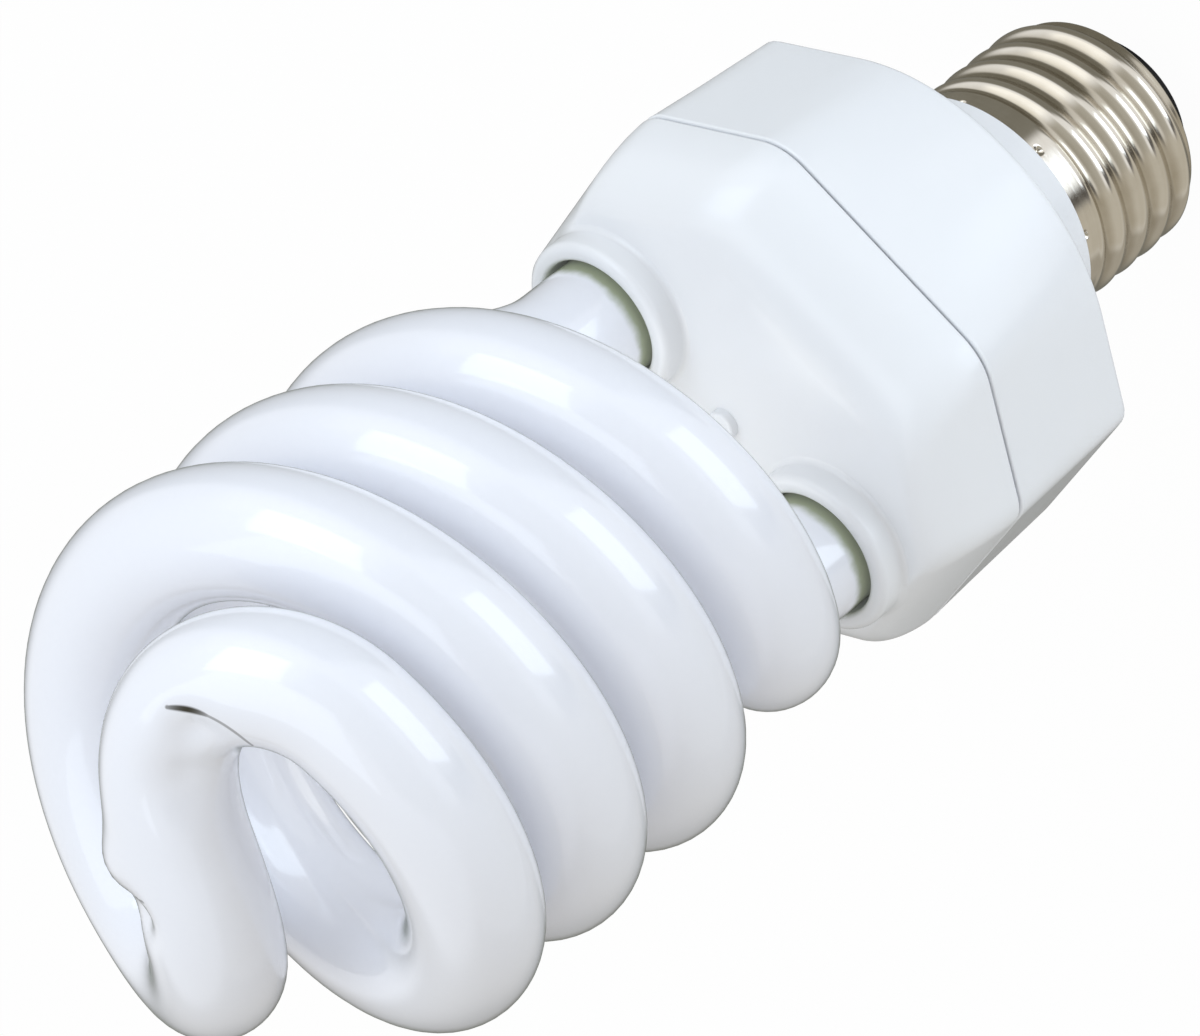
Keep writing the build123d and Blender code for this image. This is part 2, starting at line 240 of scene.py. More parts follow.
class Shader(Tree):
    """Node tree of one material."""

    def __init__(self, name: str) -> None:
        """Start an empty material.

        Args:
            name: name of the material.
        """
        self.material = bpy.data.materials.new(name)
        self.material.use_nodes = True
        self.material.cycles.emission_sampling = "NONE"
        super().__init__(self.material.node_tree)
        self.tree.nodes.clear()
        self.place = self.make("ShaderNodeTexCoord").outputs["Object"]

    def noise(self, size: float, detail: float = 3.0, vector: Value = None) -> Term:
        """Soft noise of about 0 to 1, with spots of a size in metres and some finer layers."""
        at = self.place if vector is None else vector
        return self.term("ShaderNodeTexNoise", {"Vector": at, "Scale": 1.0 / size, "Detail": detail})

    def mix(self, share: Value, first: Value, second: Value) -> NodeSocket:
        """Colour between two colours or colour sockets: 0 gives the first, 1 the second."""
        ends = [(*c, 1.0) if isinstance(c, tuple) else c for c in (first, second)]
        return self.make("ShaderNodeMix", {0: share, 6: ends[0], 7: ends[1]}, data_type="RGBA").outputs[2]

    def facing(self) -> Term:
        """0 where the surface faces the eye, rising to 1 at its edge."""
        return self.term("ShaderNodeLayerWeight", {"Blend": 0.5}, output=1)

    def relief(self, height: Value, depth: float) -> Node:
        """Bump node for a height from 0 to 1 that stands for a depth in metres."""
        return self.make("ShaderNodeBump", {"Strength": 1.0, "Distance": depth, "Height": height})

    def surface(self, sockets: Sockets) -> Node:
        """Principled shader with these sockets."""
        return self.make("ShaderNodeBsdfPrincipled", sockets)

    def close(self, shader: Value) -> Material:
        """Link the last shader to the output and return the material."""
        self.make("ShaderNodeOutputMaterial", {"Surface": shader})
        return self.material


# Finishes


class Pattern(Enum):
    """How a finish varies over its surface."""

    CLOUDED = "soft clouds"
    TURNED = "fine rings about the lamp axis"
    WOUND = "turns of wire across the lamp axis"
    FIBRED = "short fibres of pressed paper"


@dataclass(frozen=True)
class Finish:
    """A surface with two close colours, uneven gloss and a fine relief."""

    name: str
    colour: Colour
    shade: Colour
    roughness: float = 0.4
    uneven: float = 0.08
    grain: float = 1.5 * MM
    relief: float = 0.01 * MM
    metallic: float = 0.0
    coat: float = 0.0
    pattern: Pattern = Pattern.CLOUDED
    gloss: float = 0.5

    def spots(self, shader: Shader) -> Term:
        """Variation of the finish, about 0 to 1.

        Args:
            shader: the material's tree.

        Returns:
            The term that mixes the two colours.
        """
        x, y, z = shader.axes(shader.place)
        if self.pattern is Pattern.TURNED:
            rings = shader.vector((x * x + y * y).root(), z, RING_DRIFT * x)
            return shader.noise(self.grain, detail=4.0, vector=rings)
        if self.pattern is Pattern.WOUND:
            return 0.5 + 0.5 * (z * (2.0 * math.pi / self.grain)).sin()
        if self.pattern is Pattern.FIBRED:
            return shader.noise(self.grain, detail=6.0, vector=shader.vector(x, FIBRE_DRAW * y, z))
        return shader.noise(self.grain)

    def sockets(self, shader: Shader) -> Sockets:
        """Sockets of the finish's main shader.

        Args:
            shader: the material's tree.

        Returns:
            Socket names with their values.
        """
        spots = self.spots(shader)
        found = {
            "Base Color": shader.mix(spots, self.colour, self.shade),
            "Roughness": self.roughness + self.uneven * (spots - 0.5),
            "Metallic": self.metallic,
            "Coat Weight": self.coat,
            "Specular IOR Level": self.gloss,
        }
        if self.relief:
            found["Normal"] = shader.relief(spots, self.relief)
        return found

    def material(self) -> Material:
        """Material of the finish."""
        shader = Shader(self.name)
        return shader.close(shader.surface(self.sockets(shader)))


@dataclass(frozen=True)
class MouldedWhite(Finish):
    """Glossy white moulding, with a faint orange peel, slow clouds in its gloss and a painted dark reflection
    along its edges where it turns from the eye.
    """

    peel: float = 0.7 * MM
    peel_depth: float = 0.004 * MM
    # Painted reflection: the edge colour darkens the moulding where it turns from the eye.
    edge: Colour = (0.34, 0.35, 0.35)
    edge_start: float = 0.90
    edge_strength: float = 0.7

    def sockets(self, shader: Shader) -> Sockets:
        """Sockets of the moulding, with a finer relief than its clouds and a painted dark reflection at its
        edges.

        Args:
            shader: the material's tree.

        Returns:
            Socket names with their values.
        """
        found = super().sockets(shader)
        found["Normal"] = shader.relief(shader.noise(self.peel, detail=2.0), self.peel_depth)
        # Painted reflection: towards the silhouette the colour is mixed to dark grey.
        painted_rim_share = self.edge_strength * shader.facing().step(self.edge_start, 1.0)
        found["Base Color"] = shader.mix(painted_rim_share, found["Base Color"], self.edge)
        return found


@dataclass(frozen=True)
class Fold:
    """Bowed line of painted shade where the glass is folded at a tight bend, widening to a dark slit of
    painted shade along part of it.
    """

    start: Vector
    end: Vector
    line: float
    strength: float
    bow: float = 0.0
    slit: float = 0.0
    slit_place: float = 0.2
    slit_reach: float = 0.24
    soft: float = 0.35
    outward: Vector = Vector((0.1, 0.7, 0.7))
    reach: float = 2.0 * MM

    def mask(self, shader: Shader) -> Term:
        """How far a point of the surface lies in the painted shade of the fold.

        Args:
            shader: the material's tree.

        Returns:
            The share of the painted fold shade, 0 away from the line.
        """
        way = self.end - self.start
        side = way.cross(self.outward).normalized()
        offset = [part - at for part, at in zip(shader.axes(shader.place), self.start)]
        past = sum(part * step for part, step in zip(offset, way)) / way.length_squared
        along = past.most(0.0).least(1.0)
        aside = sum(part * step for part, step in zip(offset, side)) - 4.0 * self.bow * along * (1.0 - along)
        beyond = (past - along) * way.length
        miss = (aside * aside + beyond * beyond).root()
        far = sum(part * part for part in offset).root()
        near = 1.0 - far.step(way.length + self.reach, way.length + 1.5 * self.reach)
        apart = (along - self.slit_place) / self.slit_reach
        gape = (1.0 - apart * apart).most(0.0)
        share = self.strength + (1.0 - self.strength) * gape if self.slit else self.strength
        return share * near * (1.0 - (miss / (self.line + self.slit * gape)).step(self.soft, 1.0))


@dataclass(frozen=True)
class PowderedGlass(Finish):
    """Clear glass over white powder: the wall shows as a thin grey-green line at the edge, its own tint
    darkened by painted shade and reflection.
    """

    # Painted shade and reflection: these colours darken the tube where it turns from the eye, over the glass
    # wall's own tint.
    edge: Colour = (0.22, 0.24, 0.215)
    edge_start: float = 0.80
    edge_strength: float = 0.92
    # Painted glow: a faint emission that lifts the tube's shaded sides, though the lamp is not lit.
    carried: Colour = (0.99, 1.0, 1.0)
    carried_strength: float = 0.06
    # Bare glass with painted shade: dark olive for the glass without powder and the shade in the socket
    # mouths.
    bare: Colour = (0.25, 0.29, 0.17)
    bare_low: float = 68.6 * MM
    bare_high: float = 69.9 * MM
    ragged: float = 1.2 * MM
    ragged_grain: float = 2.5 * MM
    coat_roughness: float = 0.09
    coat_index: float = 1.6
    wall_roughness: float = 0.4
    wall_gloss: float = 0.1
    # Painted shade: near the sockets the edge line turns darker olive and wider.
    leg_edge: Colour = (0.10, 0.12, 0.08)
    leg_edge_start: float = 0.74
    leg_high: float = 82.0 * MM
    folds: tuple[Fold, ...] = (
        Fold(Vector((-8.7, 19.3, 145.4)) * MM, Vector((-1.1, 20.1, 142.0)) * MM, 0.22 * MM, 0.55,
             bow=-1.07 * MM, slit=0.32 * MM),
        Fold(Vector((-1.6, -3.9, 148.0)) * MM, Vector((1.0, -1.2, 148.7)) * MM, 0.24 * MM, 0.5,
             outward=Vector((-0.3, -0.2, 0.9))),
    )
    # Painted shade: near-black brown along the folds.
    fold_colour: Colour = (0.05, 0.045, 0.03)
    fold_roughness: float = 0.6

    def material(self) -> Material:
        """Material of the tube, thinner in powder near its feet, where its colour turns dark olive: bare
        glass, and painted shade of the socket mouths.

        Returns:
            The material.
        """
        shader = Shader(self.name)
        sockets = self.sockets(shader)
        _, _, z = shader.axes(shader.place)
        # Painted shade: below the powder's ragged end the tube turns dark olive.
        rough_end = z + self.ragged * (shader.noise(self.ragged_grain) - 0.5)
        powder = rough_end.step(self.bare_low, self.bare_high)
        sockets["Base Color"] = shader.mix(powder, self.bare, sockets["Base Color"])
        sockets["Coat Roughness"] = self.coat_roughness
        sockets["Coat IOR"] = self.coat_index
        # Painted glow of the unlit tube.
        sockets["Emission Color"] = (*self.carried, 1.0)
        sockets["Emission Strength"] = self.carried_strength
        white = shader.surface(sockets)
        leg = 1.0 - z.step(self.bare_high, self.leg_high)
        wall = shader.surface({"Base Color": shader.mix(leg, self.edge, self.leg_edge),
                               "Roughness": self.wall_roughness, "Specular IOR Level": self.wall_gloss})
        # Painted shade and reflection at the silhouette, darker towards the legs.
        facing = shader.facing()
        start = self.edge_start + (self.leg_edge_start - self.edge_start) * leg
        edge = self.edge_strength * ((facing - start) / (1.0 - start)).step(0.0, 1.0)
        tube = shader.make("ShaderNodeMixShader", {0: edge, 1: white, 2: wall})
        # Painted shade of the folds, mixed over the tube.
        slit = shader.surface({"Base Color": (*self.fold_colour, 1.0), "Roughness": self.fold_roughness,
                               "Specular IOR Level": self.wall_gloss})
        fold_shade_share = functools.reduce(Term.most, [fold.mask(shader) for fold in self.folds])
        return shader.close(shader.make("ShaderNodeMixShader", {0: fold_shade_share, 1: tube, 2: slit}))


@dataclass(frozen=True)
class NickelPlate(Finish):
    """Bright plate with drawing marks round the cap, darker and duller in the roots of its thread: tarnish
    there, with painted shade.
    """

    tarnish: Colour = (0.36, 0.31, 0.22)
    crest: float = 13.15 * MM
    depth: float = 0.7 * MM
    root_share: float = 0.55
    root_start: float = 0.25
    cloud_share: float = 0.5
    cloud_grain: float = 3.0 * MM
    dull_roughness: float = 0.10

    def sockets(self, shader: Shader) -> Sockets:
        """Sockets of the plate, with the tarnish and painted shade of the roots.

        Args:
            shader: the material's tree.

        Returns:
            Socket names with their values.
        """
        found = super().sockets(shader)
        x, y, _ = shader.axes(shader.place)
        # Tarnish and painted shade: darker and duller towards the thread's roots, with random clouds.
        low = (self.crest - (x * x + y * y).root()) / self.depth
        clouds = self.cloud_share * (shader.noise(self.cloud_grain) - 0.5)
        dull = (self.root_share * low.step(self.root_start, 1.0) + clouds).most(0.0).least(1.0)
        found["Base Color"] = shader.mix(dull, found["Base Color"], self.tarnish)
        found["Roughness"] = found["Roughness"] + self.dull_roughness * dull
        return found


WHITE_PLASTIC = MouldedWhite("white_plastic", (0.86, 0.87, 0.89), (0.84, 0.855, 0.88), 0.24, 0.05, 9.0 * MM)
WHITE_GLASS = PowderedGlass("white_glass", (0.79, 0.805, 0.86), (0.775, 0.79, 0.85), 0.45, 0.05, 0.8 * MM,
                            relief=0.0, coat=1.0)
NICKEL = NickelPlate("nickel", (0.76, 0.73, 0.67), (0.68, 0.64, 0.57), 0.13, 0.10, 0.5 * MM, 0.004 * MM,
                     metallic=1.0, pattern=Pattern.TURNED)
BLACK_GLASS = Finish("black_glass", (0.008, 0.008, 0.009), (0.014, 0.013, 0.013), 0.35, 0.10, 2.0 * MM,
                     gloss=0.08)
CONTACT = Finish("contact_metal", (0.62, 0.58, 0.50), (0.48, 0.43, 0.35), 0.32, 0.2, 1.2 * MM, 0.02 * MM, 1.0)
CEMENT = Finish("cement", (0.42, 0.45, 0.37), (0.34, 0.37, 0.30), 0.85, 0.1, 0.6 * MM, 0.05 * MM)
LAMINATE = Finish("board", (0.50, 0.34, 0.17), (0.40, 0.26, 0.12), 0.55, 0.1, 0.9 * MM,
                  coat=0.2, pattern=Pattern.FIBRED)
SLEEVE = Finish("can_sleeve", (0.035, 0.045, 0.09), (0.05, 0.06, 0.11), 0.28, 0.08, 2.5 * MM)
FERRITE = Finish("ferrite", (0.075, 0.075, 0.08), (0.11, 0.105, 0.10), 0.6, 0.15, 0.3 * MM, 0.02 * MM)
BOBBIN = Finish("bobbin_plastic", (0.10, 0.10, 0.10), (0.13, 0.13, 0.125), 0.45, 0.1, 1.0 * MM)
COPPER = Finish("copper", (0.62, 0.27, 0.11), (0.36, 0.13, 0.05), 0.3, 0.1, 0.35 * MM, 0.1 * MM,
                metallic=1.0, coat=0.4, pattern=Pattern.WOUND)
DIPPED = Finish("film_coat", (0.36, 0.07, 0.045), (0.29, 0.05, 0.035), 0.25, 0.08, 1.8 * MM, 0.03 * MM,
                coat=0.5)
RESIN = Finish("black_resin", (0.028, 0.028, 0.03), (0.045, 0.045, 0.045), 0.55, 0.12, 0.4 * MM, 0.015 * MM)
LACQUER = Finish("resistor_coat", (0.22, 0.34, 0.42), (0.18, 0.29, 0.37), 0.4, 0.1, 0.8 * MM, 0.02 * MM)
TINNED = Finish("lead_metal", (0.62, 0.62, 0.62), (0.5, 0.5, 0.5), 0.35, 0.15, 0.8 * MM, 0.01 * MM, 1.0)
COVER = Finish("wire_cover", (0.72, 0.72, 0.70), (0.66, 0.66, 0.63), 0.5, 0.1, 1.5 * MM)


# Meshes


def placed(name: str, data: ID) -> Object:
    """Put an object in the scene.

    Args:
        name: name of the object.
        data: its mesh, light or camera.

    Returns:
        The object, at the origin.
    """
    item = bpy.data.objects.new(name, data)
    bpy.context.scene.collection.objects.link(item)
    return item


def applied(mesh: Mesh, kind: str, settings: dict[str, Value],
            inputs: dict[str, float] | None = None) -> Mesh:
    """Apply one modifier to a mesh.

    Args:
        mesh: the mesh to start from.
        kind: Blender's type name of the modifier.
        settings: properties of the modifier.
        inputs: values of a node tree's inputs, by socket identifier.

    Returns:
        A new plain mesh.
    """
    holder = placed(mesh.name, mesh)
    modifier = holder.modifiers.new(kind, kind)
    for key, value in settings.items():
        setattr(modifier, key, value)
    for identifier, value in (inputs or {}).items():
        modifier[identifier] = value
    graph = bpy.context.evaluated_depsgraph_get()
    plain = bpy.data.meshes.new_from_object(holder.evaluated_get(graph))
    bpy.data.objects.remove(holder)
    return plain


def piece(name: str, mesh: Mesh, node: str, wall: float = 0.0) -> Object:
    """Put a finished mesh in the scene in the place of a CAD node.

    Args:
        name: name of the piece.
        mesh: its mesh, in the row's frame.
        node: the CAD node that it stands for.
        wall: thickness that is added inwards, in metres.

    Returns:
        The piece.
    """
    if wall:
        mesh = applied(mesh, "SOLIDIFY", {"thickness": wall, "offset": -1.0, "use_even_offset": True})
    item = placed(name, mesh)
    mesh.name = name
    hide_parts(node)
    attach(item, BODY)
    LOG.info("%s: %d faces", name, len(mesh.polygons))
    return item


def skin(name: str, rows: Sequence[np.ndarray], material: Material, loop: bool = False,
         keep: Callable[[np.ndarray], bool] | None = None) -> Mesh:
    """Mesh through rows of points that each go once round.

    Args:
        name: name of the mesh.
        rows: rows of points, each of the same count; a row at one point becomes a pole.
        material: material of the faces.
        loop: whether the last row joins the first.
        keep: test of a face's middle, or none to keep every face.

    Returns:
        The mesh, with its normals as the rows turn.
    """
    count = len(rows[0])
    points = np.vstack(rows)
    pairs = [(k, (k + 1) % len(rows)) for k in range(len(rows) if loop else len(rows) - 1)]
    faces = []
    for low, high in pairs:
        for i in range(count):
            j = (i + 1) % count
            corners = [low * count + i, low * count + j, high * count + j, high * count + i]
            if keep is None or keep(points[corners].mean(axis=0)):
                faces.append(corners)
    mesh = bpy.data.meshes.new(name)
    mesh.from_pydata(points.tolist(), [], faces)
    mesh.update()
    return shaded(applied(mesh, "WELD", {"merge_threshold": WELD_REACH}), material)


def shaded(mesh: Mesh, material: Material) -> Mesh:
    """Give a mesh one material and smooth shading with sharp edges.

    Args:
        mesh: the mesh.
        material: material of its faces.

    Returns:
        The same mesh.
    """
    mesh.materials.clear()
    mesh.materials.append(material)
    mesh.shade_smooth()
    mesh.set_sharp_from_angle(angle=SHARP)
    return mesh


def turned(name: str, profile: Sequence[Point], material: Material, segments: int = 128,
           loop: bool = False) -> Mesh:
    """Mesh turned about the lamp axis.

    Args:
        name: name of the mesh.
        profile: radius and height pairs, upwards along the outside.
        material: material of the faces.
        segments: number of faces round the axis.
        loop: whether the profile closes on itself.

    Returns:
        The mesh.
    """
    turn = np.linspace(0.0, 2.0 * math.pi, segments, endpoint=False)
    rows = [np.column_stack((r * np.cos(turn), r * np.sin(turn), np.full(segments, z))) for r, z in profile]
    return skin(name, rows, material, loop)


def arc(centre: Point, radius: float, start: float, end: float, steps: int = 6) -> list[Point]:
    """Radius and height pairs of a round edge; its angles are in degrees, from outwards towards +Z."""
    angles = [math.radians(start + (end - start) * i / steps) for i in range(steps + 1)]
    return [(centre[0] + radius * math.cos(a), centre[1] + radius * math.sin(a)) for a in angles]


# Sub-assemblies


@dataclass(frozen=True)
class Dent:
    """Rounded swell of the tube, or a hollow if its height is negative."""

    height: float
    width: float
    place: Vector


@dataclass
class GlassSpiral:
    """The sealed tube: two legs, a double helix and an S-shaped bridge at the tip."""

    radius: float = 6.45 * MM
    leg_radius: float = 6.1 * MM
    spread: float = 15.6 * MM
    foot: float = 61.0 * MM
    leg_top: float = 73.5 * MM
    leg_pull: float = 8.7 * MM
    entry_pull: float = 11.6 * MM
    entry_angle: float = math.radians(37.9)
    entry_height: float = 85.7 * MM
    entry_radius: float = 22.4 * MM
    exit_angle: float = math.radians(623.0)
    exit_radius: float = 23.95 * MM
    pitch: float = 30.0 * MM
    exit_pull: float = 10.2 * MM
    bridge_height: float = 142.68 * MM
    bridge_angle: float = math.radians(139.4)
    bridge_pull: float = 20.5 * MM
    swell: Dent = Dent(1.3 * MM, 2.6 * MM, Vector((-4.5, -3.6, 146.8)) * MM)
    crease: Dent = Dent(-1.6 * MM, 1.7 * MM, Vector((0.8, -4.95, 148.5)) * MM)
    hollow: Dent = Dent(-1.5 * MM, 2.1 * MM, Vector((-5.5, 18.3, 145.1)) * MM)
    flank: Dent = Dent(-1.4 * MM, 3.0 * MM, Vector((-3.2, 12.8, 145.2)) * MM)
    leg_steps: int = 6
    bend_steps: int = 28
    helix_steps: int = 180
    curl_steps: int = 64
    sides: int = 48

    def helix(self, recipe: Recipe, angle: Term) -> tuple[list[Term], list[Term]]:
        """Place and direction of one strand at an angle about the lamp axis.

        Args:
            recipe: the tube's tree.
            angle: the angle in radians.

        Returns:
            X, Y and Z of the place, and of the unit direction.
        """
        span = recipe.size("Exit Angle") - recipe.size("Entry Angle")
        widen = (recipe.size("Exit Radius") - recipe.size("Entry Radius")) / span
        rise = recipe.size("Pitch") / (2.0 * math.pi)
        past = angle - recipe.size("Entry Angle")
        reach = recipe.size("Entry Radius") + widen * past
        place = [reach * angle.cos(), reach * angle.sin(), recipe.size("Entry Height") + rise * past]
        way = [widen * angle.cos() - reach * angle.sin(), widen * angle.sin() + reach * angle.cos(), rise]
        length = (way[0] * way[0] + way[1] * way[1] + rise * rise).root()
        return place, [part / length for part in way]

    def numbered(self, recipe: Recipe, points: Value, number: Term) -> Node:
        """Points that each keep a number, by which they are strung together."""
        sockets = {"Geometry": points, "Name": "station", "Value": number}
        return recipe.make("GeometryNodeStoreNamedAttribute", sockets, data_type="FLOAT", domain="POINT")

    def bent(self, recipe: Recipe, ends: Sequence[Value], steps: int) -> Node:
        """Points of a bend.

        Args:
            recipe: the tube's tree.
            ends: start, first handle, second handle and end.
            steps: number of steps.

        Returns:
            The node with the points.
        """
        sockets = dict(zip(("Start", "Start Handle", "End Handle", "End"), ends)) | {"Resolution": steps}
        bend = recipe.make("GeometryNodeCurvePrimitiveBezierSegment", sockets, mode="POSITION")
        return recipe.make("GeometryNodeCurveToPoints", {"Curve": bend}, mode="EVALUATED")

    def path(self, recipe: Recipe) -> Node:
        """One line from foot to foot through both strands.

        Args:
            recipe: the tube's tree.

        Returns:
            The node with the curve.
        """
        size = recipe.size
        foot = recipe.vector(size("Spread"), 0.0, size("Foot"))
        top = recipe.vector(size("Spread"), 0.0, size("Leg Top"))
        above = recipe.vector(size("Spread"), 0.0, size("Leg Top") + size("Leg Pull"))
        place, way = self.helix(recipe, size("Entry Angle"))
        before = recipe.vector(*[p - size("Entry Pull") * w for p, w in zip(place, way)])
        bend = self.bent(recipe, [top, above, before, recipe.vector(*place)], self.bend_steps)
        leave, heading = self.helix(recipe, size("Exit Angle"))
        after = recipe.vector(*[p + size("Exit Pull") * w for p, w in zip(leave, heading)])
        across = (size("Bridge Angle").cos(), size("Bridge Angle").sin())
        near = recipe.vector(-(size("Bridge Pull") * across[0]), -(size("Bridge Pull") * across[1]),
                             size("Bridge Height"))
        middle = recipe.vector(0.0, 0.0, size("Bridge Height"))
        curl = self.bent(recipe, [recipe.vector(*leave), after, near, middle], self.curl_steps)
        ends = {"Count": self.leg_steps + 1, "Start Location": foot, "Offset": top}
        leg = recipe.make("GeometryNodeMeshLine", ends, mode="END_POINTS")
        share = recipe.term("GeometryNodeInputIndex") / self.helix_steps
        turn = size("Entry Angle") + (size("Exit Angle") - size("Entry Angle")) * share
        coil = recipe.make("GeometryNodeMeshLine", {"Count": self.helix_steps + 1}, mode="OFFSET")
        wound = recipe.vector(*self.helix(recipe, turn)[0])
        coil = recipe.make("GeometryNodeSetPosition", {"Geometry": coil, "Position": wound})
        leg, coil = (recipe.make("GeometryNodeMeshToPoints", {"Mesh": line}) for line in (leg, coil))
        stretches = ((leg, self.leg_steps), (bend, self.bend_steps),
                     (coil, self.helix_steps), (curl, self.curl_steps))
        strand = recipe.make("GeometryNodeJoinGeometry")
        for first, (points, steps) in enumerate(stretches):
            number = first + recipe.term("GeometryNodeInputIndex") / steps
            recipe.tree.links.new(self.numbered(recipe, points, number).outputs[0], strand.inputs[0])
        station = recipe.term("GeometryNodeInputNamedAttribute", {"Name": "station"}, data_type="FLOAT")
        twin = recipe.make("GeometryNodeTransform", {"Geometry": strand, "Rotation": (0.0, 0.0, math.pi)})
        last = 2.0 * len(stretches)
        twin = self.numbered(recipe, twin, last - station)
        both = recipe.make("GeometryNodeJoinGeometry", {0: strand})
        recipe.tree.links.new(twin.outputs[0], both.inputs[0])
        merged = recipe.make("GeometryNodeMergeByDistance", {"Geometry": both, "Distance": MERGE_REACH})
        line = recipe.make("GeometryNodePointsToCurves", {"Points": merged, "Weight": station})
        along = (station.least(last - station) - 1.0).most(0.0).least(1.0)
        narrow = size("Leg Radius") / size("Radius")
        thick = narrow + (1.0 - narrow) * along
        return recipe.make("GeometryNodeSetCurveRadius", {"Curve": line, "Radius": thick})

    def dents(self) -> dict[str, Dent]:
        """The swell and the hollows, by the names of their inputs."""
        return {"Swell": self.swell, "Crease": self.crease, "Hollow": self.hollow, "Flank": self.flank}

    def swollen(self, recipe: Recipe, tube: Node) -> Node:
        """Raise the swell at the middle of the bridge, and press the crease and the hollows beside it.

        Args:
            recipe: the tube's tree.
            tube: the node with the even tube.

        Returns:
            The node with the finished tube.
        """
        place = recipe.axes(recipe.make("GeometryNodeInputPosition"))
        lift: Value = 0.0
        for label, dent in self.dents().items():
            miss = sum((part - at) ** 2.0 for part, at in zip(place, dent.place))
            lift = lift + recipe.size(label) * (-(miss / (2.0 * recipe.size(label + " Width") ** 2.0))).exp()
        normal = recipe.axes(recipe.make("GeometryNodeInputNormal"))
        offset = recipe.vector(*[lift * part for part in normal])
        return recipe.make("GeometryNodeSetPosition", {"Geometry": tube, "Offset": offset})

    def build(self) -> None:
        """Build the tube and dress it."""
        values = {field.name.replace("_", " ").title(): getattr(self, field.name) for field in fields(self)}
        sizes = {label: value for label, value in values.items() if isinstance(value, float)}
        for label, dent in self.dents().items():
            sizes |= {label: dent.height, label + " Width": dent.width}
        recipe = Recipe("spiral_glass", sizes)
        ring = recipe.make("GeometryNodeCurvePrimitiveCircle",
                           {"Resolution": self.sides, "Radius": recipe.size("Radius")}, mode="RADIUS")
        tube = recipe.make("GeometryNodeCurveToMesh",
                           {"Curve": self.path(recipe), "Profile Curve": ring, "Fill Caps": True})
        mesh = recipe.mesh(self.swollen(recipe, tube), WHITE_GLASS.material())
        piece("spiral_glass", mesh, "spiral_tube")


